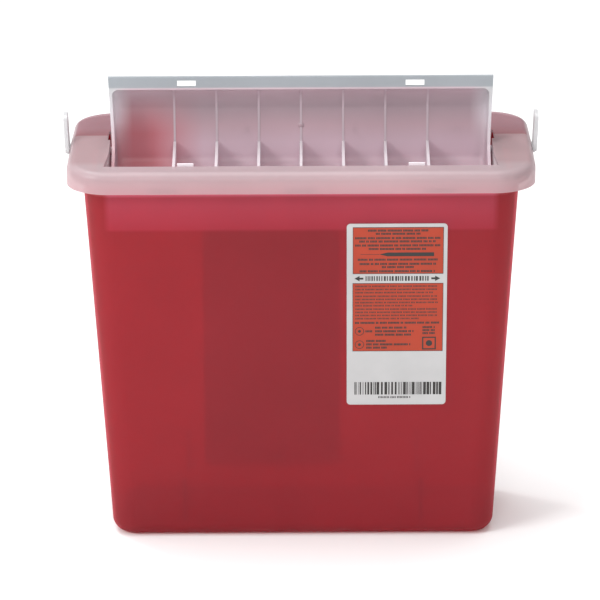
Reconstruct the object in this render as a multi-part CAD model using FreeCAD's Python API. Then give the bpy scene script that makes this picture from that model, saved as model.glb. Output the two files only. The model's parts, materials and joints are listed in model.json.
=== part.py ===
import FreeCAD, Part
import math
import os

# Sharps container: a tapered see-through bin, a press-on lid with a deep well, and a counterbalanced
# door, a scoop on a cross pivot that stands open by its own weight and tips forward to empty its tray.
# Millimetres. X runs across the front, Y towards the back, Z up, from under the middle of the base.

# Bin
BIN_WALL = 1.6
BIN_MOUTH_Z = 222.0
BIN_MOUTH_HALF_X = 127.0
BIN_MOUTH_HALF_Y = 52.0
BIN_MOUTH_CORNER = 17.0
BIN_BASE_CORNER = 14.0
BIN_DRAFT = math.tan(math.radians(3.15))
BIN_FOOT_ROUND = 9.0
BIN_RIM_Z = 233.6
BIN_RIM_HALF_X = 133.5
BIN_RIM_HALF_Y = 58.5
BIN_RIM_CORNER = 24.0
BIN_RIM_LIP_DROP = 7.0

# Ribs inside the foot of the bin, which stop stacked empty bins from jamming
NEST_RIB_X = 71.0
NEST_RIB_THICK = 1.6
NEST_RIB_DEPTH = 3.0
NEST_RIB_TOP_Z = 38.0

# Labels
LABEL_THICK = 0.25
FRONT_LABEL_X = (26.4, 85.1)
FRONT_LABEL_Z = (87.0, 202.0)
REAR_LABEL_X = (-61.0, 23.5)
REAR_LABEL_Z = (14.0, 176.0)
LABEL_CORNER = 2.2

# Lid: a shallow roof with its ridge across the side decks, and a skirt over the bin's rim
LID_HALF_X = 136.5
LID_HALF_Y = 61.5
LID_CORNER = 25.0
LID_SKIN = 1.8
LID_SKIRT_Z = 223.5
LID_FRONT_Z = 235.8
LID_REAR_Z = 238.2
LID_RIDGE_Z = 239.5
LID_RIDGE_Y = 5.0
LID_EDGE_ROUND = 5.0

# Opening in the lid and the well under it
OPENING_HALF_X = 112.6
OPENING_FRONT_Y = -48.5
OPENING_REAR_Y = 15.0
OPENING_CORNER = 2.0
WELL_SKIN = 1.5
WELL_END_DRAFT = 0.035
WELL_FOOT_Z = 197.0
WELL_REAR_FOOT_Z = 224.0
CHEEK_OUTER_X = 118.9
CHEEK_REAR_Y = 4.0
CHEEK_FOOT_Z = 222.0
FLARE_REAR_Y = -6.0
FLARE_WIDE = 2.6
FLARE_DEEP = 12.0

# Recesses beside the door behind its pins, which let it be pressed in from above
RECESS_Y = (-2.6, 15.0)
RECESS_OUTER_X = 114.3
RECESS_FLOOR_Z = 228.0

# Door pivot, and how far the door tips
PIVOT_Y = -6.5
PIVOT_Z = 233.5
PIN_R = 2.5
PIN_PLAY = 0.06
PIN_END_X = 117.4

# Door: a scoop of constant section between two slightly leaning end walls
DOOR_TOP_Z = 279.4
DOOR_SKIN = 1.5
DOOR_LIP_FRONT_Y = -9.0
DOOR_LIP_THICK = 1.8
DOOR_CEILING_Z = 272.4
DOOR_CEILING_SLOPE = 0.36
DOOR_BACK_Y = 9.0
DOOR_CEILING_ROUND = 16.0
DOOR_HEEL_ROUND = 9.0
DOOR_FLOOR_REAR_Z = 216.8
DOOR_FLOOR_FRONT_Z = 220.4
DOOR_FLOOR_THICK = 1.4
DOOR_TRAY_FRONT_Y = -40.0
DOOR_TRAY_LIP_Z = 223.6
DOOR_CHEEK_BEND_Z = 238.5
DOOR_END_TOP_X = 112.9
DOOR_END_FOOT_X = 110.6
DOOR_END_THICK = 1.8
DOOR_INNER_ROUND = 3.5

# Final lock: two tongues on the front rim that snap into two slots in the door's lip
LOCK_X = 67.0
LOCK_SLOT_WIDE = 11.0
LOCK_SLOT_Z = (273.2, 276.9)
TONGUE_WIDE = 9.5
TONGUE_THICK = 1.3
TONGUE_TOP_Z = 238.2
TONGUE_FOOT_Z = 232.0

# Fins that part the tray, and the low ribs above them up the back of the scoop and round its top
FIN_PITCH = 25.0
FIN_COUNT = 7
FIN_THICK = 1.6
FIN_TOP_Z = 235.0
FIN_FRONT_Y = -36.0
FIN_FRONT_Z = 224.4
RIB_THICK = 1.2
RIB_PROUD = 0.3
RIB_FRONT_Y = -2.0

# Stops on the back of the door, which rest on the deck behind the opening
STOP_X = (-92.0, -32.0, 32.0, 92.0)
STOP_WIDE = 3.0
STOP_REACH = 10.5
STOP_HIGH = 4.0
STOP_GAP = 0.3

# Snap lugs inside the lid's skirt, under the lip of the bin's rim
LUG_HALF_WIDE = 9.0
LUG_HIGH = 2.4
LUG_PROUD = 1.5
LUG_GAP = 0.4

# Flexible tabs at the lid's two ends
TAB_INNER_X = 137.1
TAB_THICK = 2.2
TAB_HALF_WIDE = 6.0
TAB_FOOT_Z = 231.3
TAB_TOP_Z = 254.8
TAB_ROUND = 2.4
TAB_LEAN = 2.0
WEB_HALF_WIDE = 5.0
WEB_Z = (231.0, 234.6)

# How far a cutting shape reaches past the surface that it cuts
CUT = 1.0


def point(x, y, z):
    return FreeCAD.Vector(x, y, z)


def rounded_outline(half_x, half_y, radius, z, mid_y=0.0):
    """A rounded rectangle about (0, mid_y), as a closed wire at height z."""
    wire_edges = []
    straight_x = half_x - radius
    straight_y = half_y - radius
    bulge = radius * math.sqrt(0.5)
    quarters = ((1, 1), (-1, 1), (-1, -1), (1, -1))
    for side_x, side_y in quarters:
        middle = point(side_x * (straight_x + bulge), side_y * (straight_y + bulge), z)
        on_side = point(side_x * half_x, side_y * straight_y, z)
        on_end = point(side_x * straight_x, side_y * half_y, z)
        ends = (on_side, on_end) if side_x * side_y > 0 else (on_end, on_side)
        if wire_edges:
            last = wire_edges[-1].Vertexes[-1].Point
            wire_edges.append(Part.LineSegment(last, ends[0]).toShape())
        wire_edges.append(Part.Arc(ends[0], middle, ends[1]).toShape())
    first = point(half_x, straight_y, z)
    wire_edges.append(Part.LineSegment(wire_edges[-1].Vertexes[-1].Point, first).toShape())
    return Part.Wire(wire_edges).translated(point(0, mid_y, 0))


def rounded_block(half_x, half_y, radius, z_low, z_high):
    face = Part.Face(rounded_outline(half_x, half_y, radius, z_low))
    return face.extrude(point(0, 0, z_high - z_low))


def box(x_range, y_range, z_range):
    """An upright block between pairs of limits."""
    size = [high - low for low, high in (x_range, y_range, z_range)]
    return Part.makeBox(*size, point(x_range[0], y_range[0], z_range[0]))


def corner_arc(before, corner, after, radius):
    """The start, middle and end of the arc that rounds a corner between two straight runs."""
    back = (before - corner).normalize()
    ahead = (after - corner).normalize()
    half_angle = back.getAngle(ahead) / 2
    setback = radius / math.tan(half_angle)
    inward = (back + ahead).normalize()
    centre = corner + inward * (radius / math.sin(half_angle))
    return corner + back * setback, centre - inward * radius, corner + ahead * setback


def side_section(corners, half_x):
    """A solid of constant section across X, from corners (y, z, rounding radius)."""
    spots = [point(-half_x, y, z) for y, z, radius in corners]
    pieces = []
    for i, spot in enumerate(spots):
        radius = corners[i][2]
        if radius:
            pieces.append(corner_arc(spots[i - 1], spot, spots[(i + 1) % len(spots)], radius))
        else:
            pieces.append((spot,))
    edges = []
    for i, piece in enumerate(pieces):
        if len(piece) == 3:
            edges.append(Part.Arc(*piece).toShape())
        following = pieces[(i + 1) % len(pieces)]
        edges.append(Part.LineSegment(piece[-1], following[0]).toShape())
    return Part.Face(Part.Wire(edges)).extrude(point(2 * half_x, 0, 0))


def mirrored(shape):
    return shape.mirror(point(0, 0, 0), point(1, 0, 0))


def bin_half_sizes(z, inset=0.0):
    """Half width and half depth of the bin's outside at height z, less an inset."""
    narrowing = (BIN_MOUTH_Z - z) * BIN_DRAFT
    return BIN_MOUTH_HALF_X - narrowing - inset, BIN_MOUTH_HALF_Y - narrowing - inset


def tub(z_low, z_high, inset, foot_round):
    """The bin's tapered form between two heights, with its lower edge rounded."""
    sections = []
    for z in (z_low, z_high):
        half_x, half_y = bin_half_sizes(z, inset)
        share = z / BIN_MOUTH_Z
        corner = BIN_BASE_CORNER + (BIN_MOUTH_CORNER - BIN_BASE_CORNER) * share - inset
        sections.append(rounded_outline(half_x, half_y, corner, z))
    form = Part.makeLoft(sections, True, True)
    foot_edges = [edge for edge in form.Edges if edge.BoundBox.ZMax < z_low + CUT / 2]
    return form.makeFillet(foot_round, foot_edges)


def make_bin_shell():
    wall = tub(0.0, BIN_RIM_Z, 0.0, BIN_FOOT_ROUND)
    flange = rounded_block(
        BIN_RIM_HALF_X, BIN_RIM_HALF_Y, BIN_RIM_CORNER, BIN_RIM_Z - BIN_WALL, BIN_RIM_Z
    )
    lip = rounded_block(
        BIN_RIM_HALF_X, BIN_RIM_HALF_Y, BIN_RIM_CORNER, BIN_RIM_Z - BIN_RIM_LIP_DROP, BIN_RIM_Z
    )
    lip_inside = rounded_block(
        BIN_RIM_HALF_X - BIN_WALL,
        BIN_RIM_HALF_Y - BIN_WALL,
        BIN_RIM_CORNER - BIN_WALL,
        BIN_RIM_Z - BIN_RIM_LIP_DROP - CUT,
        BIN_RIM_Z - BIN_WALL,
    )
    cavity = tub(BIN_WALL, BIN_RIM_Z + CUT, BIN_WALL, BIN_FOOT_ROUND - BIN_WALL)
    return wall.fuse([flange, lip.cut(lip_inside)]).cut(cavity).removeSplitter()


def make_nesting_ribs():
    """Two upright ribs on the inside of the front wall and two on the back wall."""
    ribs = []
    low_z = BIN_FOOT_ROUND + BIN_WALL
    faces = [bin_half_sizes(z, BIN_WALL)[1] for z in (low_z, NEST_RIB_TOP_Z)]
    for side_y in (-1, 1):
        outline = [
            (side_y * faces[0], low_z, 0),
            (side_y * faces[1], NEST_RIB_TOP_Z, 0),
            (side_y * (faces[1] - NEST_RIB_DEPTH), NEST_RIB_TOP_Z - NEST_RIB_DEPTH, 0),
            (side_y * (faces[0] - NEST_RIB_DEPTH), low_z, 0),
        ]
        for x in (-NEST_RIB_X, NEST_RIB_X):
            rib = side_section(outline, NEST_RIB_THICK / 2)
            ribs.append(rib.translated(point(x, 0, 0)))
    return Part.makeCompound(ribs)


def label_on_wall(x_range, z_range, side_y):
    """A thin rectangle with rounded corners, lying on the sloping front or back wall of the bin."""
    wall_y = bin_half_sizes(z_range[0])[1]
    lean = math.degrees(math.atan(BIN_DRAFT))
    slope_high = (z_range[1] - z_range[0]) / math.cos(math.radians(lean))
    half_x = (x_range[1] - x_range[0]) / 2
    sheet = rounded_block(half_x, slope_high / 2, LABEL_CORNER, 0.0, LABEL_THICK)
    sheet.translate(point(0, slope_high / 2, 0))
    sheet.rotate(point(0, 0, 0), point(1, 0, 0), 90)
    if side_y > 0:
        sheet.rotate(point(0, 0, 0), point(0, 0, 1), 180)
    sheet.rotate(point(0, 0, 0), point(1, 0, 0), -side_y * lean)
    sheet.translate(point(sum(x_range) / 2, side_y * wall_y, z_range[0]))
    return sheet


def deck_z(y, drop=0.0):
    """Height of the lid's roof at y, less a drop."""
    edge_z, edge_y = (LID_REAR_Z, LID_HALF_Y) if y > LID_RIDGE_Y else (LID_FRONT_Z, -LID_HALF_Y)
    share = (y - LID_RIDGE_Y) / (edge_y - LID_RIDGE_Y)
    return LID_RIDGE_Z + (edge_z - LID_RIDGE_Z) * share - drop


def roofed_block(inset, z_low, drop):
    """The lid's outline pulled in by an inset, under its roof lowered by a drop."""
    block = rounded_block(
        LID_HALF_X - inset, LID_HALF_Y - inset, LID_CORNER - inset, z_low, LID_RIDGE_Z + CUT
    )
    roof_corners = [
        (-LID_HALF_Y - CUT, z_low - CUT, 0),
        (-LID_HALF_Y - CUT, deck_z(-LID_HALF_Y - CUT, drop), 0),
        (LID_RIDGE_Y, deck_z(LID_RIDGE_Y, drop), 0),
        (LID_HALF_Y + CUT, deck_z(LID_HALF_Y + CUT, drop), 0),
        (LID_HALF_Y + CUT, z_low - CUT, 0),
    ]
    return block.common(side_section(roof_corners, LID_HALF_X + CUT))


def flare_cut(side_x):
    """A sliver off the side of the opening, wider and deeper towards the front."""
    top_z = LID_RIDGE_Z + CUT
    near_x = side_x * (OPENING_HALF_X - CUT)
    rear = point(near_x, FLARE_REAR_Y, top_z)
    front_wide = point(side_x * (OPENING_HALF_X + FLARE_WIDE), OPENING_FRONT_Y, top_z)
    front_near = point(near_x, OPENING_FRONT_Y, top_z)
    front_deep = point(near_x, OPENING_FRONT_Y, LID_FRONT_Z - FLARE_DEEP)
    corners = (rear, front_wide, front_near, front_deep)
    faces = []
    for skipped in range(len(corners)):
        kept = [corner for i, corner in enumerate(corners) if i != skipped]
        faces.append(Part.Face(Part.makePolygon(kept + kept[:1])))
    return Part.Solid(Part.Shell(faces))


def well_form(inset, z_low, z_high):
    """The space inside the lid's opening, narrowing downwards with the bin's draft."""
    mid_y = (OPENING_FRONT_Y + OPENING_REAR_Y) / 2
    half_y = (OPENING_REAR_Y - OPENING_FRONT_Y) / 2
    sections = []
    for z in (z_low, z_high):
        depth = LID_FRONT_Z - z
        half_x = OPENING_HALF_X - depth * WELL_END_DRAFT - inset
        section_half_y = half_y - depth * BIN_DRAFT - inset
        sections.append(rounded_outline(half_x, section_half_y, OPENING_CORNER - inset, z, mid_y))
    return Part.makeLoft(sections, True, True)


def side_wall_cuts():
    """What is taken out of the opening's two sides: the pins' bore, the flares and the recesses."""
    bore_start = point(-LID_HALF_X, PIVOT_Y, PIVOT_Z)
    bore = Part.makeCylinder(PIN_R + PIN_PLAY, 2 * LID_HALF_X, bore_start, point(1, 0, 0))
    return [bore] + roof_side_cuts()


def roof_side_cuts():
    """The flares and recesses, which also cut into the edge of the roof."""
    x_range = (-RECESS_OUTER_X, RECESS_OUTER_X)
    recesses = box(x_range, RECESS_Y, (RECESS_FLOOR_Z, LID_RIDGE_Z + CUT))
    return [flare_cut(1), flare_cut(-1), recesses]


def roof_rim_edges(block):
    """The edges round the top of the lid, without the ridge across it."""
    edges = []
    for edge in block.Edges:
        bounds = edge.BoundBox
        on_top = bounds.ZMin > LID_FRONT_Z - CUT
        is_ridge = bounds.YLength < 0.01 and abs(bounds.YMin - LID_RIDGE_Y) < 0.01
        if on_top and not is_ridge:
            edges.append(edge)
    return edges


def make_lid_frame():
    outside = roofed_block(0.0, LID_SKIRT_Z, 0.0)
    outside = outside.makeFillet(LID_EDGE_ROUND, roof_rim_edges(outside))
    inside = roofed_block(LID_SKIN, LID_SKIRT_Z - CUT, LID_SKIN)
    opening = well_form(0.0, LID_SKIRT_Z, LID_RIDGE_Z + CUT)
    return outside.cut([inside, opening] + roof_side_cuts())


def make_lid_well():
    """The chute under the opening: deep at its front and sides, short at its back."""
    walls = well_form(-WELL_SKIN, WELL_FOOT_Z, LID_RIDGE_Z).cut(
        well_form(0.0, WELL_FOOT_Z - CUT, LID_RIDGE_Z + CUT)
    )
    under_roof = roofed_block(LID_SKIN, WELL_FOOT_Z - CUT, LID_SKIN)
    rear_corners = [
        (CHEEK_REAR_Y, WELL_FOOT_Z - CUT, 0),
        (OPENING_REAR_Y, WELL_REAR_FOOT_Z, 0),
        (LID_HALF_Y, WELL_REAR_FOOT_Z, 0),
        (LID_HALF_Y, WELL_FOOT_Z - CUT, 0),
    ]
    rear_notch = side_section(rear_corners, LID_HALF_X)
    return walls.common(under_roof).cut([rear_notch] + side_wall_cuts())


def make_pivot_bearings():
    """Thick cheeks outside the well's two end walls, each with the hole for one door pin."""
    wall_x = OPENING_HALF_X
    plan = [
        point(wall_x, OPENING_FRONT_Y, CHEEK_FOOT_Z),
        point(wall_x + WELL_SKIN, OPENING_FRONT_Y, CHEEK_FOOT_Z),
        point(CHEEK_OUTER_X, OPENING_FRONT_Y + CHEEK_OUTER_X - wall_x, CHEEK_FOOT_Z),
        point(CHEEK_OUTER_X, CHEEK_REAR_Y, CHEEK_FOOT_Z),
        point(wall_x, CHEEK_REAR_Y, CHEEK_FOOT_Z),
    ]
    block = Part.Face(Part.makePolygon(plan + plan[:1])).extrude(point(0, 0, LID_RIDGE_Z - CHEEK_FOOT_Z))
    under_roof = roofed_block(LID_SKIN, WELL_FOOT_Z, LID_SKIN)
    well_outside = well_form(-WELL_SKIN, WELL_FOOT_Z, LID_RIDGE_Z)
    right = block.common(under_roof).cut([well_outside] + side_wall_cuts())
    return Part.makeCompound([mirrored(right), right])


def make_lock_tongues():
    tongues = []
    y_range = (OPENING_FRONT_Y, OPENING_FRONT_Y + TONGUE_THICK)
    for x in (-LOCK_X, LOCK_X):
        x_range = (x - TONGUE_WIDE / 2, x + TONGUE_WIDE / 2)
        tongue = box(x_range, y_range, (TONGUE_FOOT_Z, TONGUE_TOP_Z))
        tongue_tip = [edge for edge in tongue.Edges if edge.BoundBox.ZMin > TONGUE_TOP_Z - 0.1]
        tongue = tongue.makeFillet(TONGUE_THICK / 3, tongue_tip)
        tongues.append(tongue.common(well_form(0.0, CHEEK_FOOT_Z, TONGUE_TOP_Z + CUT)))
    return Part.makeCompound(tongues)


def make_snap_lugs():
    """Wedges inside the skirt that pass under the lip of the bin's rim."""
    top_z = BIN_RIM_Z - BIN_RIM_LIP_DROP - LUG_GAP
    wedge = [
        (-LID_HALF_Y + LID_SKIN, top_z, 0),
        (-LID_HALF_Y + LID_SKIN + LUG_PROUD, top_z - LUG_HIGH / 3, 0),
        (-LID_HALF_Y + LID_SKIN, top_z - LUG_HIGH, 0),
    ]
    lug = side_section(wedge, LUG_HALF_WIDE)
    lugs = []
    for x in (-80.0, 0.0, 80.0):
        front_lug = lug.translated(point(x, 0, 0))
        rear_lug = front_lug.copy()
        rear_lug.rotate(point(0, 0, 0), point(0, 0, 1), 180)
        lugs += [front_lug, rear_lug]
    for turn in (90, -90):
        end_lug = lug.translated(point(0, LID_HALF_Y - LID_HALF_X, 0))
        end_lug.rotate(point(0, 0, 0), point(0, 0, 1), turn)
        lugs.append(end_lug)
    return Part.makeCompound(lugs)


def door_end_limits(inset):
    """The space between the door's two leaning end planes, pulled in by an inset."""
    spread = (DOOR_END_TOP_X - DOOR_END_FOOT_X) / (DOOR_TOP_Z - DOOR_FLOOR_REAR_Z)
    low_z = DOOR_FLOOR_REAR_Z - CUT
    high_z = DOOR_TOP_Z + CUT
    low_x = DOOR_END_FOOT_X - spread * CUT - inset
    high_x = DOOR_END_TOP_X + spread * CUT - inset
    far_y = 2 * DOOR_TRAY_FRONT_Y
    corners = [
        point(-low_x, far_y, low_z),
        point(low_x, far_y, low_z),
        point(high_x, far_y, high_z),
        point(-high_x, far_y, high_z),
    ]
    return Part.Face(Part.makePolygon(corners + corners[:1])).extrude(point(0, -2 * far_y, 0))


def ceiling_z(y):
    """Height of the scoop's outer ceiling at y, which falls towards the back."""
    return DOOR_CEILING_Z - DOOR_CEILING_SLOPE * (y - DOOR_LIP_FRONT_Y - DOOR_LIP_THICK)


def tray_floor_z(y):
    """Height of the scoop's inner floor at y, which climbs gently towards the front."""
    slope = (DOOR_FLOOR_FRONT_Z - DOOR_FLOOR_REAR_Z) / (DOOR_BACK_Y - DOOR_TRAY_FRONT_Y)
    return DOOR_FLOOR_REAR_Z + DOOR_FLOOR_THICK + slope * (DOOR_BACK_Y - y)


def make_door_cavity():
    """The hollow of the scoop, open to the front, with its end walls blended into back and floor."""
    back_y = DOOR_BACK_Y - DOOR_SKIN
    far_front_y = 2 * DOOR_TRAY_FRONT_Y
    drop = DOOR_SKIN * math.hypot(1, DOOR_CEILING_SLOPE)
    corners = [
        (far_front_y, ceiling_z(far_front_y) - drop, 0),
        (back_y, ceiling_z(back_y) - drop, DOOR_CEILING_ROUND - DOOR_SKIN),
        (back_y, tray_floor_z(back_y), DOOR_HEEL_ROUND - DOOR_SKIN),
        (far_front_y, tray_floor_z(far_front_y), 0),
    ]
    cavity = side_section(corners, LID_HALF_X).common(door_end_limits(DOOR_END_THICK))
    return cavity.makeFillet(DOOR_INNER_ROUND, end_wall_edges(cavity))


def end_wall_edges(cavity):
    """The edges where the cavity's end planes meet its ceiling, back and floor."""
    edges = []
    for edge in cavity.Edges:
        bounds = edge.BoundBox
        at_end = min(abs(bounds.XMin), abs(bounds.XMax)) > DOOR_END_FOOT_X - 2 * DOOR_END_THICK
        at_mouth = bounds.YMax < 2 * DOOR_TRAY_FRONT_Y + CUT
        if at_end and bounds.XLength < CUT * 4 and not at_mouth:
            edges.append(edge)
    return edges


def make_door_scoop():
    lip_back_y = DOOR_LIP_FRONT_Y + DOOR_LIP_THICK
    corners = [
        (DOOR_LIP_FRONT_Y, DOOR_TOP_Z, 0.5),
        (lip_back_y, DOOR_TOP_Z, 0.5),
        (lip_back_y, DOOR_CEILING_Z, 0),
        (DOOR_BACK_Y, ceiling_z(DOOR_BACK_Y), DOOR_CEILING_ROUND),
        (DOOR_BACK_Y, DOOR_FLOOR_REAR_Z, DOOR_HEEL_ROUND),
        (DOOR_TRAY_FRONT_Y, DOOR_FLOOR_FRONT_Z, 1.0),
        (DOOR_TRAY_FRONT_Y, DOOR_TRAY_LIP_Z, 1.0),
        (DOOR_LIP_FRONT_Y, DOOR_CHEEK_BEND_Z, 14.0),
    ]
    cuts = [make_door_cavity()]
    for x in (-LOCK_X, LOCK_X):
        x_range = (x - LOCK_SLOT_WIDE / 2, x + LOCK_SLOT_WIDE / 2)
        cuts.append(box(x_range, (DOOR_LIP_FRONT_Y - CUT, lip_back_y + CUT), LOCK_SLOT_Z))
    return side_section(corners, LID_HALF_X).common(door_end_limits(0.0)).cut(cuts)


def repeated_at_fins(shape):
    """Copies of a shape at the places of all the fins, trimmed to the scoop's hollow."""
    cavity = make_door_cavity()
    middle = (FIN_COUNT - 1) / 2
    places = [point((i - middle) * FIN_PITCH, 0, 0) for i in range(FIN_COUNT)]
    return Part.makeCompound([shape.translated(place).common(cavity) for place in places])


def make_door_fins():
    corners = [
        (DOOR_BACK_Y, FIN_TOP_Z, 0),
        (DOOR_BACK_Y - DOOR_SKIN, FIN_TOP_Z, 0),
        (FIN_FRONT_Y, FIN_FRONT_Z, 0),
        (FIN_FRONT_Y, DOOR_FLOOR_REAR_Z, 0),
        (DOOR_BACK_Y, DOOR_FLOOR_REAR_Z, 0),
    ]
    return repeated_at_fins(side_section(corners, FIN_THICK / 2))


def make_door_ribs():
    """Low ribs from the fins up the back of the scoop and a little way round under its ceiling."""
    face_y = DOOR_BACK_Y - DOOR_SKIN - RIB_PROUD
    drop = (DOOR_SKIN + RIB_PROUD) * math.hypot(1, DOOR_CEILING_SLOPE)
    corners = [
        (DOOR_BACK_Y, FIN_TOP_Z, 0),
        (DOOR_BACK_Y, DOOR_CEILING_Z, 0),
        (RIB_FRONT_Y, DOOR_CEILING_Z, 0),
        (RIB_FRONT_Y, ceiling_z(RIB_FRONT_Y) - drop, 0),
        (face_y, ceiling_z(face_y) - drop, DOOR_CEILING_ROUND - DOOR_SKIN - RIB_PROUD),
        (face_y, FIN_TOP_Z, 0),
    ]
    return repeated_at_fins(side_section(corners, RIB_THICK / 2))


def make_door_pins():
    """A stub on each end wall of the door, turning in the bearing beside it."""
    start_x = DOOR_END_FOOT_X - DOOR_END_THICK
    pin = Part.makeCylinder(PIN_R, PIN_END_X - start_x, point(start_x, PIVOT_Y, PIVOT_Z), point(1, 0, 0))
    tip = [edge for edge in pin.Edges if edge.BoundBox.XMin > PIN_END_X - 0.01]
    pin = pin.makeChamfer(0.6, tip)
    outside_wall = door_end_limits(0.0)
    right = pin.cut(outside_wall)
    return Part.makeCompound([mirrored(right), right])


def make_door_stops():
    """Four short brackets behind the door that lie on the deck while it stands open."""
    low_z = deck_z(OPENING_REAR_Y) + STOP_GAP
    corners = [
        (DOOR_BACK_Y, low_z, 0),
        (DOOR_BACK_Y, low_z + STOP_HIGH, 0),
        (DOOR_BACK_Y + STOP_REACH, low_z + STOP_HIGH / 3, 0),
        (DOOR_BACK_Y + STOP_REACH, low_z, 0),
    ]
    stop = side_section(corners, STOP_WIDE / 2)
    return Part.makeCompound([stop.translated(point(x, 0, 0)) for x in STOP_X])


def make_right_tab():
    tab = box(
        (TAB_INNER_X, TAB_INNER_X + TAB_THICK), (-TAB_HALF_WIDE, TAB_HALF_WIDE), (TAB_FOOT_Z, TAB_TOP_Z)
    )
    corners = [edge for edge in tab.Edges if abs(edge.BoundBox.XLength - TAB_THICK) < 0.1]
    tab = tab.makeFillet(TAB_ROUND, corners)
    tab.rotate(point(TAB_INNER_X, 0, sum(WEB_Z) / 2), point(0, 1, 0), TAB_LEAN)
    return tab


def make_right_web():
    """The short flexible strap between the lid's skirt and the tab."""
    x_range = (LID_HALF_X, TAB_INNER_X + TAB_THICK / 2)
    return box(x_range, (-WEB_HALF_WIDE, WEB_HALF_WIDE), WEB_Z).cut(make_right_tab())


def write_parts():
    nodes = {
        "bin_shell": make_bin_shell(),
        "nesting_ribs": make_nesting_ribs(),
        "front_label": label_on_wall(FRONT_LABEL_X, FRONT_LABEL_Z, -1),
        "rear_label": label_on_wall(REAR_LABEL_X, REAR_LABEL_Z, 1),
        "lid_frame": make_lid_frame(),
        "lid_well": make_lid_well(),
        "pivot_bearings": make_pivot_bearings(),
        "lock_tongues": make_lock_tongues(),
        "snap_lugs": make_snap_lugs(),
        "door_scoop": make_door_scoop(),
        "door_fins": make_door_fins(),
        "door_ribs": make_door_ribs(),
        "door_pins": make_door_pins(),
        "door_stops": make_door_stops(),
        "right_tab": make_right_tab(),
        "left_tab": mirrored(make_right_tab()),
        "right_tab_web": make_right_web(),
        "left_tab_web": mirrored(make_right_web()),
    }
    os.makedirs("parts", exist_ok=True)
    for name, shape in nodes.items():
        shape.exportStep(f"parts/{name}.step")
        print(name, "volume", round(shape.Volume), "solids", len(shape.Solids), "valid", shape.isValid())


write_parts()
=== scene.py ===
import json
import math
import random

import bmesh
import bpy
from mathutils import Matrix, Vector


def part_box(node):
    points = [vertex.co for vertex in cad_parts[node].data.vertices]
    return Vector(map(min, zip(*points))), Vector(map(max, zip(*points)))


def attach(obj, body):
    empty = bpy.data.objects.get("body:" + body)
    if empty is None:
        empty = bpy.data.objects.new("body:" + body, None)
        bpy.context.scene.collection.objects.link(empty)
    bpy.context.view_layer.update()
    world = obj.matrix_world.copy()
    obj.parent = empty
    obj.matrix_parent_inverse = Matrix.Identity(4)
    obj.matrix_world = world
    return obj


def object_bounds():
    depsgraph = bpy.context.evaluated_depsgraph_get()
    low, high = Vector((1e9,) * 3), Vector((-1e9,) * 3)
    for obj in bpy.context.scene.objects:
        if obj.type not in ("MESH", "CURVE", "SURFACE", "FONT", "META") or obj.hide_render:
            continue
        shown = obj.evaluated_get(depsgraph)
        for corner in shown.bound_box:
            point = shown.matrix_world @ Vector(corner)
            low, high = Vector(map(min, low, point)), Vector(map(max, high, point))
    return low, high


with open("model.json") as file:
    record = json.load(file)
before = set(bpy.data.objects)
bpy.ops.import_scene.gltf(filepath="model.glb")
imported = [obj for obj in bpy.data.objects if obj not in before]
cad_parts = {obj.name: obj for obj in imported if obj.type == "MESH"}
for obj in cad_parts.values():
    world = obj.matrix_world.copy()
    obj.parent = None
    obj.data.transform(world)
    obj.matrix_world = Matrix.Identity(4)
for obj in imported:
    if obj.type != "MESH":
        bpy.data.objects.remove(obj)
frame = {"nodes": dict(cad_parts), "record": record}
cad_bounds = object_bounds()

MM = 0.001
X, Y, Z = range(3)

# View of the object, and where the lights look
CAMERA_DISTANCE = 2.001
CAMERA_ELEVATION = math.radians(19.34)
CAMERA_AZIMUTH = math.radians(0.1)
CAMERA_ROLL = math.radians(-0.30)
CAMERA_LENS = 199.4
CAMERA_SENSOR = 36.0
AIM_SIDE = -1.1 * MM
AIM_HEIGHT_SHARE = 0.4914
LIGHTS_AIM = (0.0, 0.0, 0.14)

# Prints on the labels
INK_THICK = 0.03 * MM
DICE = random.Random(12)

# The front label's panels: across and down from its top left corner, in mm
UPPER_PANEL = ((3.5, 56.5), (2.2, 31.5))
LOWER_PANEL = ((3.4, 56.6), (37.3, 80.7))

# Its rows of bold print: start and end across, and the middle's height down, in mm
BOLD_ROWS = (
    (12.4, 47.6, 4.3),
    (16.9, 43.3, 6.3),
    (4.9, 55.0, 9.0),
    (7.3, 52.5, 11.1),
    (4.9, 55.0, 13.6),
    (12.8, 46.7, 15.8),
    (6.4, 53.1, 22.5),
    (7.5, 52.3, 25.2),
    (20.5, 39.2, 27.2),
    (7.5, 51.5, 29.8),
    (4.9, 54.6, 62.5),
    (16.7, 36.0, 65.6),
    (16.7, 39.9, 67.9),
    (16.7, 38.6, 70.1),
    (11.0, 15.4, 67.9),
    (11.5, 23.2, 74.1),
    (11.5, 37.9, 76.3),
    (11.5, 24.4, 78.4),
    (44.6, 52.4, 65.4),
    (44.6, 52.4, 67.3),
    (44.6, 52.4, 69.2),
)

# Its paragraphs of small print: the first row's height down in mm, the number of rows, and where the last row
# ends in mm; then the reach of a full row, and the pitch of the rows
PARAGRAPHS = ((39.3, 3, 50.9), (45.6, 4, 39.0), (53.8, 4, 42.8))
PARAGRAPH_ACROSS = (5.1, 53.5)
PARAGRAPH_PITCH = 2.0

# The plain spindle: corners of its body, and its thin stem, in mm
SPINDLE = ((19.0, 19.2), (23.7, 18.0), (51.0, 18.0), (51.0, 20.4), (23.7, 20.4))
SPINDLE_STEM = ((8.0, 19.0), (19.1, 19.35))

# Middles of the two ringed dots, the dot in the square and the reach of the square, in mm
RINGED_DOTS = ((7.5, 67.9), (7.5, 76.4))
SQUARED_DOT = (48.5, 75.6)
SQUARE = ((44.4, 52.6), (71.5, 79.7))

# The fill band's middle, the strip of bars and the caption under it, in mm
FRONT_FILL_BAND = 34.4
FRONT_BARS = ((4.6, 56.4), (100.6, 108.7))
CAPTION = (18.7, 38.4, 110.4)

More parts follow.
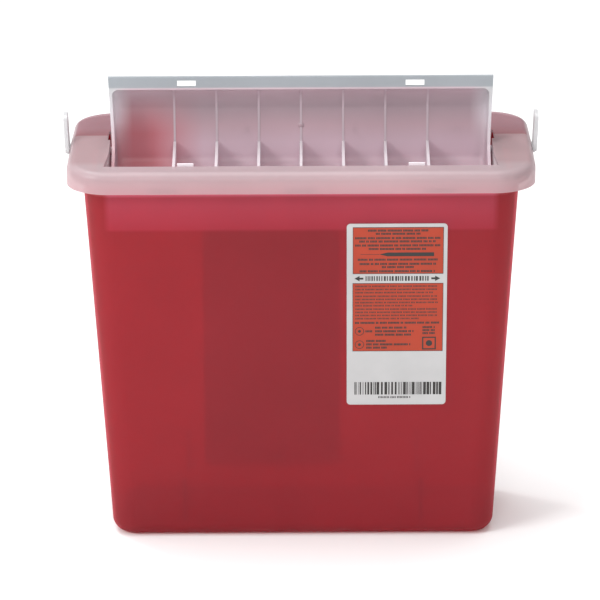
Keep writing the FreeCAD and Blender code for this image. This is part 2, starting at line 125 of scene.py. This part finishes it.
# The rear label's margin, its panels, the pitch of their rows, its fill band and its strip of bars, in mm
REAR_MARGIN = 4.0
REAR_PANELS = ((4.0, 46.0), (56.0, 108.0))
REAR_PITCH = 4.6
REAR_FILL_BAND = 51.0
REAR_BARS = (134.0, 148.0)

# The dome on the back of the scoop: the radius and the height of its rings, and the height of its tip, in mm
GATE_MARK_RINGS = ((2.1, 0.0), (2.0, 0.15), (1.2, 0.2), (0.95, 0.45), (0.5, 0.6))
GATE_MARK_TIP = 0.65
GATE_MARK_CORNERS = 24
GATE_MARK_SUNK = 0.1 * MM
GATE_MARK_ABOVE_FINS = 9.6 * MM

# Colours of the plastics, as linear values
BIN_RED = (0.455, 0.033, 0.051, 1.0)
# Painted light: a paler, pinker band on the front wall, for the white well showing through it
BIN_PAINTED_WELL_SHOWTHROUGH = (
    (0.0, (0.58, 0.052, 0.094, 1.0)),
    (1.0, (0.66, 0.100, 0.165, 1.0)),
)
NESTING_RIB_RED = (0.12, 0.008, 0.014, 1.0)
LID_RIM = (
    (0.0, (0.66, 0.44, 0.47, 1.0)),
    (0.5, (0.68, 0.50, 0.53, 1.0)),
    (1.0, (0.61, 0.505, 0.53, 1.0)),
)
# Painted light: the deck darker and pinker than the skirt, for the bin's red showing through it
LID_DECK_PAINTED_SHOWTHROUGH = (0.57, 0.42, 0.44, 1.0)
# Painted shade on the deck behind the ridge, darkest along the ridge and redder with the bin showing through
LID_REAR_DECK_PAINTED_SHADE = (
    (0.0, (0.46, 0.20, 0.225, 1.0)),
    (1.0, (0.47, 0.26, 0.30, 1.0)),
)
WELL_WHITE = (0.85, 0.78, 0.80, 1.0)
DOOR_LIP = (0.42, 0.46, 0.49, 1.0)
DOOR_ENDS = (
    (0.0, (0.72, 0.62, 0.66, 1.0)),
    (0.2, (0.72, 0.63, 0.67, 1.0)),
    (0.5, (0.92, 0.88, 0.92, 1.0)),
    (0.75, (0.80, 0.79, 0.82, 1.0)),
    (1.0, (0.64, 0.66, 0.67, 1.0)),
)
# Painted red shade at the scoop's lower left end, in the shadow of the left end wall with the bin's red
# coming up
DOOR_PAINTED_RED_SHADE = (0.70, 0.18, 0.21, 1.0)
# Painted light up the scoop: a painted pink glow of the bin's red low down, painted shade under the curved
# ceiling, lighter again at the lip
DOOR_SCOOP_PAINTED_SHADE_AND_GLOW = (
    (0.0, (0.74, 0.59, 0.66, 1.0)),
    (0.25, (0.74, 0.59, 0.66, 1.0)),
    (0.45, (0.66, 0.50, 0.55, 1.0)),
    (0.70, (0.475, 0.38, 0.42, 1.0)),
    (1.0, (0.70, 0.57, 0.62, 1.0)),
)
FIN_WHITE = (0.95, 0.91, 0.94, 1.0)
RIB_PINK = (0.80, 0.70, 0.75, 1.0)
TAB_WHITE = (0.74, 0.745, 0.755, 1.0)

# Colours that the plastics give to the light that passes straight through
BIN_TINT = (0.84, 0.15, 0.24, 1.0)
NESTING_RIB_TINT = (0.60, 0.06, 0.11, 1.0)
LID_TINT = (1.0, 0.92, 0.93, 1.0)
DOOR_TINT = (0.98, 0.92, 0.94, 1.0)
FIN_TINT = (1.0, 0.94, 0.96, 1.0)

# Colours of the labels
LABEL_WHITE = (0.46, 0.455, 0.457, 1.0)
ORANGE_INK = (0.375, 0.034, 0.008, 1.0)
BLACK_INK = (0.022, 0.019, 0.018, 1.0)

# The studio: its floor, and the even light from all round
FLOOR_WHITE = (0.95, 0.95, 0.95, 1.0)
WORLD_WHITE = (1.0, 1.0, 1.0, 1.0)
WORLD_STRENGTH = 0.45

# Least and most roughness of the mouldings
SATIN = (0.30, 0.42)
FIN_FROST = (0.32, 0.46)
DOOR_FROST = (0.34, 0.48)
WELL_FROST = (0.36, 0.50)

# The values that a noise seldom goes below and above
NOISE_REACH = (0.3, 0.7)

# Fineness of the mould's grain
BIN_GRAIN = 700.0
LID_GRAIN = 800.0

# Heights between which the bin's wall turns into its dense rim
BIN_RIM = (218.5 * MM, 220.5 * MM)

# Heights between which the colour of the lid's skirt, and the painted shade and glow on the door's scoop, run
# through their stops
SKIRT = (223.5 * MM, 235.5 * MM)
SCOOP = (222.0 * MM, 272.0 * MM)

# Where the lid's ridge runs across the deck
RIDGE_Y = 5.0 * MM


# ---------------------------------------------------------------- materials

class Shader:
    """A material being built from nodes."""

    def __init__(self, name):
        self.material = bpy.data.materials.new(name)
        self.material.use_nodes = True
        self.tree = self.material.node_tree
        self.tree.nodes.clear()
        self.output = self.add("ShaderNodeOutputMaterial")
        self.position = self.add("ShaderNodeTexCoord").outputs["Object"]

    def add(self, kind, **values):
        """A new node, with the named inputs set; an underscore stands for a space in an input's name."""
        node = self.tree.nodes.new(kind)
        for name, value in values.items():
            node.inputs[name.replace("_", " ")].default_value = value
        return node

    def link(self, source, target):
        self.tree.links.new(source, target)

    def feed(self, source, target):
        """Link a socket, or set a plain value, on a target socket."""
        if isinstance(source, bpy.types.NodeSocket):
            self.link(source, target)
        else:
            target.default_value = source

    def noise(self, scale, detail=4.0, stretch=(1.0, 1.0, 1.0)):
        """Smooth random values over the object; a larger scale is finer."""
        mapping = self.add("ShaderNodeMapping", Scale=stretch)
        self.link(self.position, mapping.inputs["Vector"])
        node = self.add("ShaderNodeTexNoise", Scale=scale, Detail=detail)
        self.link(mapping.outputs["Vector"], node.inputs["Vector"])
        return node.outputs["Fac"]

    def mapped(self, value, start, end, low=0.0, high=1.0):
        """A value that goes from low to high while the given one goes from start to end."""
        node = self.add("ShaderNodeMapRange", From_Min=start, From_Max=end, To_Min=low, To_Max=high)
        self.link(value, node.inputs["Value"])
        return node.outputs["Result"]

    def math(self, operation, *values):
        node = self.tree.nodes.new("ShaderNodeMath")
        node.operation = operation
        for value, target in zip(values, node.inputs):
            self.feed(value, target)
        return node.outputs[0]

    def product(self, first, *others):
        """The shares multiplied together, which is 1 only where all of them are."""
        for other in others:
            first = self.math("MULTIPLY", first, other)
        return first

    def place(self, axis):
        """The place on the object along one axis, in metres."""
        node = self.add("ShaderNodeSeparateXYZ")
        self.link(self.position, node.inputs[0])
        return node.outputs[axis]

    def facing(self, axis, start, end):
        """0 to 1 as the surface turns along one axis, by the normal's share of that axis."""
        node = self.add("ShaderNodeSeparateXYZ")
        self.link(self.add("ShaderNodeTexCoord").outputs["Normal"], node.inputs[0])
        return self.mapped(node.outputs[axis], start, end)

    def blend(self, share, first, second, way="MIX"):
        """The first colour where the share is 0, and the second where it is 1."""
        node = self.tree.nodes.new("ShaderNodeMix")
        node.data_type = "RGBA"
        node.blend_type = way
        self.feed(share, node.inputs[0])
        self.feed(first, node.inputs[6])
        self.feed(second, node.inputs[7])
        return node.outputs[2]

    def ramp(self, value, start, end, stops):
        """A colour that runs through (share, colour) stops while a value goes from start to end."""
        node = self.tree.nodes.new("ShaderNodeValToRGB")
        elements = node.color_ramp.elements
        for _ in range(len(stops) - len(elements)):
            elements.new(1.0)
        for element, (share, colour) in zip(elements, stops):
            element.position = share
            element.color = colour
        self.link(self.mapped(value, start, end), node.inputs[0])
        return node.outputs[0]

    def clouded(self, colour, depth, scale):
        """The colour with soft uneven patches that are darker by up to a given depth."""
        dark = 1.0 - depth
        patches = self.mapped(self.noise(scale), *NOISE_REACH)
        grey = self.blend(patches, (dark, dark, dark, 1.0), (1.0, 1.0, 1.0, 1.0))
        return self.blend(1.0, colour, grey, "MULTIPLY")

    def bump(self, height, strength, distance):
        node = self.add("ShaderNodeBump", Strength=strength, Distance=distance)
        self.link(height, node.inputs["Height"])
        return node.outputs["Normal"]

    def mixed(self, share, first, second):
        """The first surface where the share is 0, and the second where it is 1."""
        node = self.add("ShaderNodeMixShader")
        self.feed(share, node.inputs[0])
        self.link(first, node.inputs[1])
        self.link(second, node.inputs[2])
        return node.outputs[0]

    def finish(self, surface):
        self.link(surface, self.output.inputs["Surface"])
        return self.material


def moulded(shader, colour, tint, glow_share, clear_share, roughness, grain):
    """Moulded polypropylene that light soaks into: some of it shines through and some passes straight."""
    toned = shader.clouded(colour, depth=0.10, scale=14.0)
    body = shader.add("ShaderNodeBsdfPrincipled", IOR=1.49, Coat_Weight=0.25, Coat_Roughness=0.16)
    shader.link(toned, body.inputs["Base Color"])
    handling = shader.noise(60.0, detail=6.0, stretch=(1.0, 1.0, 0.4))
    shader.link(shader.mapped(handling, *NOISE_REACH, *roughness), body.inputs["Roughness"])
    skin = shader.bump(shader.noise(grain, detail=3.0), strength=0.25, distance=0.2 * MM)
    shader.link(skin, body.inputs["Normal"])
    inner = shader.add("ShaderNodeBsdfTranslucent")
    shader.link(toned, inner.inputs["Color"])
    clear = shader.add("ShaderNodeBsdfTransparent", Color=tint)
    lit = shader.mixed(glow_share, body.outputs[0], inner.outputs[0])
    return shader.finish(shader.mixed(clear_share, lit, clear.outputs[0]))


def make_bin_plastic():
    """See-through red, denser in the thick rim, with a paler band painted on the front wall where the well
    stands behind it: painted light of the well showing through the wall.
    """
    shader = Shader("bin_red")
    well_low, well_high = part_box("lid_well")
    height = shader.place(Z)
    from_middle = shader.math("ABSOLUTE", shader.place(X))
    above_well_foot = shader.mapped(height, well_low.z + 0.2 * MM, well_low.z + 2.0 * MM)
    between_well_ends = shader.mapped(from_middle, well_high.x + 1.0 * MM, well_high.x - 3.0 * MM)
    on_front_wall = shader.mapped(shader.place(Y), -40.0 * MM, -42.0 * MM)
    # Where the painted light of the well shows through the front wall
    band = shader.product(above_well_foot, between_well_ends, on_front_wall)
    painted_well_showthrough = shader.ramp(height, well_low.z, well_low.z + 16.0 * MM, BIN_PAINTED_WELL_SHOWTHROUGH)
    return moulded(
        shader,
        shader.blend(band, BIN_RED, painted_well_showthrough),
        tint=BIN_TINT,
        glow_share=shader.mapped(height, *BIN_RIM, low=0.35, high=0.12),
        clear_share=shader.mapped(height, *BIN_RIM, low=0.52, high=0.06),
        roughness=SATIN,
        grain=BIN_GRAIN,
    )


def make_nesting_rib_plastic():
    """The bin's plastic where a rib doubles its thickness, so that less light comes through."""
    return moulded(
        Shader("nesting_rib_red"),
        NESTING_RIB_RED,
        tint=NESTING_RIB_TINT,
        glow_share=0.20,
        clear_share=0.10,
        roughness=SATIN,
        grain=BIN_GRAIN,
    )


def make_lid_plastic():
    """Frosted plastic with painted light on its deck: the deck is painted darker and pinker than the skirt
    for the bin's red showing through it, and behind the ridge it carries painted shade, darker and redder
    still.
    """
    shader = Shader("lid_frosted")
    depth = shader.place(Y)
    behind_front_edge = shader.mapped(depth, -47.0 * MM, -40.0 * MM)
    deck = shader.product(shader.facing(Z, 0.80, 0.93), behind_front_edge)
    past_ridge = shader.mapped(depth, RIDGE_Y - 0.4 * MM, RIDGE_Y + 0.4 * MM)
    # Painted shade on the deck behind the ridge
    painted_rear_shade = shader.ramp(depth, RIDGE_Y, RIDGE_Y + 17.0 * MM, LID_REAR_DECK_PAINTED_SHADE)
    # The deck takes its painted showthrough colour, the rest takes the skirt's colour
    colour = shader.blend(deck, shader.ramp(shader.place(Z), *SKIRT, LID_RIM), LID_DECK_PAINTED_SHOWTHROUGH)
    colour = shader.blend(shader.product(deck, past_ridge), colour, painted_rear_shade)
    return moulded(
        shader,
        colour,
        tint=LID_TINT,
        glow_share=0.35,
        clear_share=0.30,
        roughness=SATIN,
        grain=LID_GRAIN,
    )


def make_well_plastic():
    """Frosted plastic, whiter and duller than the lid's roof."""
    return moulded(
        Shader("well_frosted"),
        WELL_WHITE,
        tint=LID_TINT,
        glow_share=0.40,
        clear_share=0.10,
        roughness=WELL_FROST,
        grain=LID_GRAIN,
    )


def make_door_plastic():
    """Frosted plastic with painted light on the scoop: painted shade under its curved ceiling, a painted pink
    glow of the bin's red lower down and painted red shade at its lower left end; the lip is left neutral, and
    the ends run paler, whitest about halfway up.
    """
    shader = Shader("door_frosted")
    across, height = shader.place(X), shader.place(Z)
    # Where the painted red shade lies: the scoop's lower left end, facing the front
    near_left_end = shader.mapped(across, -58.0 * MM, -88.0 * MM, high=0.80)
    low_down = shader.mapped(height, 266.0 * MM, 240.0 * MM)
    facing_front = shader.facing(Y, -0.1, -0.4)
    painted_red_shade_mask = shader.product(near_left_end, low_down, facing_front)
    # The scoop gets its painted shade and glow, and the painted red shade at its lower left end
    colour = shader.blend(painted_red_shade_mask, shader.ramp(height, *SCOOP, DOOR_SCOOP_PAINTED_SHADE_AND_GLOW), DOOR_PAINTED_RED_SHADE)
    at_either_end = shader.mapped(shader.math("ABSOLUTE", across), 100.0 * MM, 111.0 * MM)
    high_up = shader.mapped(height, 228.0 * MM, 250.0 * MM, low=0.35)
    pale_ends = shader.product(at_either_end, high_up)
    colour = shader.blend(pale_ends, colour, shader.ramp(height, *SCOOP, DOOR_ENDS))
    on_lip = shader.mapped(height, 272.2 * MM, 272.8 * MM)
    return moulded(
        shader,
        shader.blend(on_lip, colour, DOOR_LIP),
        tint=DOOR_TINT,
        glow_share=0.30,
        clear_share=0.12,
        roughness=DOOR_FROST,
        grain=LID_GRAIN,
    )


def make_fin_plastic(name, colour):
    """Frosted plastic of one colour, for the thin pieces that stand up from the lid and the door."""
    return moulded(
        Shader(name),
        colour,
        tint=FIN_TINT,
        glow_share=0.30,
        clear_share=0.10,
        roughness=FIN_FROST,
        grain=LID_GRAIN,
    )


def printed_surface(name, colour, roughness):
    """Coated label stock, or the ink on it."""
    shader = Shader(name)
    body = shader.add("ShaderNodeBsdfPrincipled", IOR=1.45)
    shader.link(shader.clouded(colour, depth=0.10, scale=45.0), body.inputs["Base Color"])
    shader.link(shader.mapped(shader.noise(120.0), *NOISE_REACH, *roughness), body.inputs["Roughness"])
    skin = shader.bump(shader.noise(900.0, detail=2.0), strength=0.15, distance=0.05 * MM)
    shader.link(skin, body.inputs["Normal"])
    return shader.finish(body.outputs[0])


def make_materials():
    """Every material, by the node it is for, or by the slot for nodes that have none of their own."""
    fin = make_fin_plastic("fin_frosted", FIN_WHITE)
    rib = make_fin_plastic("rib_frosted", RIB_PINK)
    tab = make_fin_plastic("tab_frosted", TAB_WHITE)
    return {
        "bin_plastic": make_bin_plastic(),
        "lid_plastic": make_lid_plastic(),
        "door_plastic": make_door_plastic(),
        "label_paper": printed_surface("label_paper", LABEL_WHITE, roughness=(0.42, 0.55)),
        "orange_ink": printed_surface("label_orange_ink", ORANGE_INK, roughness=(0.40, 0.52)),
        "black_ink": printed_surface("label_black_ink", BLACK_INK, roughness=(0.40, 0.55)),
        "nesting_ribs": make_nesting_rib_plastic(),
        "lid_well": make_well_plastic(),
        "door_fins": fin,
        "lock_tongues": fin,
        "door_ribs": rib,
        "door_stops": rib,
        "left_tab": tab,
        "right_tab": tab,
        "left_tab_web": tab,
        "right_tab_web": tab,
    }


def paint_nodes(materials):
    """Gives each CAD node its own material, or else its slot's."""
    for subpart in frame["record"]["subparts"]:
        name = subpart["node"]
        material = materials.get(name, materials[subpart["material_slot"]])
        for slot in frame["nodes"][name].material_slots:
            slot.material = material


# ---------------------------------------------------------------- the printed labels

class Sheet:
    """Prints flat shapes on a label: u runs right and v down, from the top left corner of its face.

    The side is -1 for a label on the front wall and 1 for one on the back wall.
    """

    def __init__(self, node_name, side):
        low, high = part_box(node_name)
        self.side = side
        self.width = high.x - low.x
        lean = self.wall_lean(node_name)
        self.right = Vector((-side, 0.0, 0.0))
        self.normal = Vector((0.0, side * math.cos(lean), -math.sin(lean)))
        self.down = Vector((0.0, -side * math.sin(lean), -math.cos(lean)))
        start_x = high.x if side > 0 else low.x
        self.corner = Vector((start_x, high.y if side > 0 else low.y, high.z))
        self.mesh = bmesh.new()

    def wall_lean(self, node_name):
        """Angle by which the label's broad faces lean out towards the top."""
        faces = frame["nodes"][node_name].data.polygons
        broad = max(faces, key=lambda face: face.area * (face.normal.y * self.side > 0))
        return math.atan2(-broad.normal.z, abs(broad.normal.y))

    def place(self, u, v, lift):
        return self.corner + self.right * u + self.down * v + self.normal * lift

    def outline(self, points, layer=1):
        """A thin patch of ink with the given corners; a higher layer lies on a lower one."""
        under = [self.mesh.verts.new(self.place(u, v, -INK_THICK)) for u, v in points]
        over = [self.mesh.verts.new(self.place(u, v, layer * INK_THICK)) for u, v in points]
        count = len(points)
        self.mesh.faces.new(over)
        self.mesh.faces.new(list(reversed(under)))
        for i in range(count):
            following = (i + 1) % count
            self.mesh.faces.new((under[i], under[following], over[following], over[i]))

    def patch(self, u_range, v_range, layer=1):
        """A rectangle of ink."""
        (u_low, u_high), (v_low, v_high) = u_range, v_range
        self.outline(((u_low, v_high), (u_high, v_high), (u_high, v_low), (u_low, v_low)), layer)

    def ring(self, u, v, radius, width, layer=1, corners=28):
        """A ring of ink, made of short blocks; a width equal to the radius makes a disc."""
        for i in range(corners):
            turns = [2 * math.pi * (i + j) / corners for j in (0, 1)]
            points = [(u + radius * math.cos(t), v + radius * math.sin(t)) for t in turns]
            inner = radius - width
            points += [(u + inner * math.cos(t), v + inner * math.sin(t)) for t in reversed(turns)]
            self.outline(points[:3] if inner < INK_THICK else points, layer)

    def border(self, u_range, v_range, width, layer=1):
        """Four strips of ink just inside the edges of a rectangle."""
        (u_low, u_high), (v_low, v_high) = u_range, v_range
        self.patch(u_range, (v_low, v_low + width), layer)
        self.patch(u_range, (v_high - width, v_high), layer)
        self.patch((u_low, u_low + width), (v_low + width, v_high - width), layer)
        self.patch((u_high - width, u_high), (v_low + width, v_high - width), layer)

    def greeked_row(self, u_range, v_middle, height, letter, gap, layer=2):
        """A row of small blocks in word-like groups, which stands for a line of print."""
        u = u_range[0]
        letters_left = DICE.randint(3, 9)
        while u + letter <= u_range[1]:
            self.patch((u, u + letter), (v_middle - height / 2, v_middle + height / 2), layer)
            u += letter + gap
            letters_left -= 1
            if letters_left == 0:
                u += letter
                letters_left = DICE.randint(2, 10)

    def piece(self, name, material):
        """Makes one piece of all that was printed since the last one."""
        bmesh.ops.recalc_face_normals(self.mesh, faces=self.mesh.faces)
        data = bpy.data.meshes.new(name)
        self.mesh.to_mesh(data)
        self.mesh.free()
        self.mesh = bmesh.new()
        piece = bpy.data.objects.new(name, data)
        bpy.context.collection.objects.link(piece)
        data.materials.append(material)
        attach(piece, "bin")


def mm(*values):
    """Lengths given in mm, in metres."""
    return tuple(value * MM for value in values)


def print_fill_band(sheet, v_middle):
    """Two arrows with a row of plain bars between them, to mark the level at which the bin is full."""
    head_long, head_half_high, shaft_half_high, bar_half_high = mm(3.0, 1.7, 0.6, 1.5)
    for tip, way in ((4.5 * MM, 1), (sheet.width - 4.0 * MM, -1)):
        neck = tip + way * head_long
        sheet.outline([(tip, v_middle), (neck, v_middle - head_half_high), (neck, v_middle + head_half_high)])
        tail = tip + way * head_long * 1.75
        sheet.patch(sorted((neck, tail)), (v_middle - shaft_half_high, v_middle + shaft_half_high))
    u = 11.0 * MM
    while u < sheet.width - 10.5 * MM:
        wide = DICE.choice(mm(0.6, 0.8, 1.1))
        sheet.patch((u, u + wide), (v_middle - bar_half_high, v_middle + bar_half_high))
        u += wide + DICE.choice(mm(0.45, 0.6, 0.9))


def print_bar_strip(sheet, u_range, v_range):
    """A strip of upright bars of random width."""
    u = u_range[0]
    while u < u_range[1]:
        wide = DICE.choice(mm(0.35, 0.35, 0.7, 1.1, 1.6))
        sheet.patch((u, min(u + wide, u_range[1])), v_range)
        u += wide + DICE.choice(mm(0.4, 0.4, 0.7, 1.0))


def print_paragraphs(sheet):
    """Blocks of small print, in rows of which the last one is cut short."""
    start, full_end = PARAGRAPH_ACROSS
    for first_row, rows, last_end in PARAGRAPHS:
        for row in range(rows):
            end = last_end if row == rows - 1 else full_end
            v = first_row + row * PARAGRAPH_PITCH
            sheet.greeked_row(mm(start, end), v * MM, height=1.0 * MM, letter=0.5 * MM, gap=0.3 * MM)


def print_front_label(materials):
    """Two orange panels with print and plain marks on them, and below them a strip of bars."""
    sheet = Sheet("front_label", -1)
    panels = [(mm(*across), mm(*down)) for across, down in (UPPER_PANEL, LOWER_PANEL)]
    for panel in panels:
        sheet.patch(*panel)
    sheet.piece("front_label_orange", materials["orange_ink"])
    for panel in panels:
        sheet.border(*panel, width=0.3 * MM, layer=2)
    for start, end, v in BOLD_ROWS:
        sheet.greeked_row(mm(start, end), v * MM, height=1.3 * MM, letter=0.66 * MM, gap=0.18 * MM)
    print_paragraphs(sheet)
    sheet.outline([mm(*corner) for corner in reversed(SPINDLE)], layer=2)
    sheet.patch(*[mm(*reach) for reach in SPINDLE_STEM], layer=2)
    for middle in RINGED_DOTS:
        sheet.ring(*mm(*middle), radius=2.7 * MM, width=0.38 * MM, layer=2)
        sheet.ring(*mm(*middle), radius=0.9 * MM, width=0.9 * MM, layer=2)
    sheet.border(*[mm(*reach) for reach in SQUARE], width=0.8 * MM, layer=2)
    sheet.ring(*mm(*SQUARED_DOT), radius=1.9 * MM, width=1.9 * MM, layer=2)
    print_fill_band(sheet, FRONT_FILL_BAND * MM)
    print_bar_strip(sheet, *[mm(*reach) for reach in FRONT_BARS])
    start, end, v = mm(*CAPTION)
    sheet.greeked_row((start, end), v, height=1.3 * MM, letter=0.5 * MM, gap=0.35 * MM, layer=1)
    sheet.piece("front_label_black", materials["black_ink"])


def print_rear_label(materials):
    """A plainer and larger label of the same kind."""
    sheet = Sheet("rear_label", 1)
    margin, pitch = mm(REAR_MARGIN, REAR_PITCH)
    across = (margin, sheet.width - margin)
    inner = (2 * margin, sheet.width - 2 * margin)
    panels = [mm(*down) for down in REAR_PANELS]
    for down in panels:
        sheet.patch(across, down)
    sheet.piece("rear_label_orange", materials["orange_ink"])
    for top, bottom in panels:
        sheet.border(across, (top, bottom), width=0.4 * MM, layer=2)
        for row in range(int((bottom - top) / pitch) - 1):
            v = top + (row + 1.2) * pitch
            sheet.greeked_row(inner, v, height=2.0 * MM, letter=1.0 * MM, gap=0.35 * MM)
    print_fill_band(sheet, REAR_FILL_BAND * MM)
    print_bar_strip(sheet, inner, mm(*REAR_BARS))
    sheet.piece("rear_label_black", materials["black_ink"])


# ---------------------------------------------------------------- the mark of the mould

def make_gate_mark(material):
    """The small dome left on the back of the scoop where the plastic entered its mould."""
    mesh = bmesh.new()
    loops = []
    for radius, high in GATE_MARK_RINGS:
        turns = [2 * math.pi * i / GATE_MARK_CORNERS for i in range(GATE_MARK_CORNERS)]
        ring = [mm(radius * math.cos(turn), -high, radius * math.sin(turn)) for turn in turns]
        loops.append([mesh.verts.new(corner) for corner in ring])
    tip = mesh.verts.new(mm(0.0, -GATE_MARK_TIP, 0.0))
    around = [(i, (i + 1) % GATE_MARK_CORNERS) for i in range(GATE_MARK_CORNERS)]
    for wide, narrow in zip(loops, loops[1:]):
        for i, j in around:
            mesh.faces.new((wide[i], wide[j], narrow[j], narrow[i]))
    for i, j in around:
        mesh.faces.new((loops[-1][i], loops[-1][j], tip))
    mesh.faces.new(list(reversed(loops[0])))
    bmesh.ops.recalc_face_normals(mesh, faces=mesh.faces)
    data = bpy.data.meshes.new("door_gate_mark")
    mesh.to_mesh(data)
    mesh.free()
    for face in data.polygons:
        face.use_smooth = True
    fins_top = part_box("door_fins")[1]
    middle = (0.0, fins_top.y + GATE_MARK_SUNK, fins_top.z + GATE_MARK_ABOVE_FINS)
    data.transform(Matrix.Translation(middle))
    mark = bpy.data.objects.new("door_gate_mark", data)
    bpy.context.collection.objects.link(mark)
    data.materials.append(material)
    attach(mark, "door")


# ---------------------------------------------------------------- the studio

def make_floor():
    """A plain pale floor that runs far out under the object."""
    mesh = bmesh.new()
    bmesh.ops.create_grid(mesh, x_segments=8, y_segments=8, size=6.0)
    data = bpy.data.meshes.new("floor")
    mesh.to_mesh(data)
    mesh.free()
    floor = bpy.data.objects.new("floor", data)
    bpy.context.collection.objects.link(floor)
    shader = Shader("floor_white")
    body = shader.add("ShaderNodeBsdfPrincipled", Roughness=0.8)
    shader.link(shader.clouded(FLOOR_WHITE, depth=0.02, scale=2.0), body.inputs["Base Color"])
    data.materials.append(shader.finish(body.outputs[0]))


def add_softbox(name, place, size, power):
    """A square light that looks at the middle of the object."""
    light = bpy.data.lights.new(name, "AREA")
    light.shape = "SQUARE"
    light.size = size
    light.energy = power
    softbox = bpy.data.objects.new(name, light)
    bpy.context.collection.objects.link(softbox)
    softbox.location = place
    softbox.rotation_euler = (Vector(LIGHTS_AIM) - Vector(place)).to_track_quat("-Z", "Y").to_euler()


def make_lights():
    add_softbox("softbox_left", (-1.8, -1.2, 1.5), size=0.9, power=34.0)
    add_softbox("softbox_front", (0.2, -2.4, 1.3), size=1.6, power=22.0)
    add_softbox("softbox_top", (-0.2, 0.1, 2.2), size=1.8, power=40.0)
    add_softbox("softbox_kicker", (-0.95, 0.78, 2.1), size=0.25, power=9.0)
    world = bpy.data.worlds.new("studio")
    world.use_nodes = True
    background = world.node_tree.nodes["Background"]
    background.inputs["Color"].default_value = WORLD_WHITE
    background.inputs["Strength"].default_value = WORLD_STRENGTH
    bpy.context.scene.world = world
    bpy.context.scene.view_settings.view_transform = "Standard"


def make_camera():
    """A long lens on the front of the object, a little above it."""
    height = cad_bounds[1].z
    aim = Vector((AIM_SIDE, 0.0, height * AIM_HEIGHT_SHARE))
    level = CAMERA_DISTANCE * math.cos(CAMERA_ELEVATION)
    offset = Vector((
        math.sin(CAMERA_AZIMUTH) * level,
        -math.cos(CAMERA_AZIMUTH) * level,
        CAMERA_DISTANCE * math.sin(CAMERA_ELEVATION),
    ))
    camera_data = bpy.data.cameras.new("camera")
    camera_data.lens = CAMERA_LENS
    camera_data.sensor_width = CAMERA_SENSOR
    camera = bpy.data.objects.new("camera", camera_data)
    bpy.context.collection.objects.link(camera)
    camera.location = aim + offset
    facing = (-offset).to_track_quat("-Z", "Y").to_matrix().to_4x4()
    turned = facing @ Matrix.Rotation(CAMERA_ROLL, 4, "Z")
    camera.rotation_euler = turned.to_euler()
    bpy.context.scene.camera = camera


materials = make_materials()
paint_nodes(materials)
print_front_label(materials)
print_rear_label(materials)
make_gate_mark(materials["door_plastic"])
make_floor()
make_lights()
make_camera()
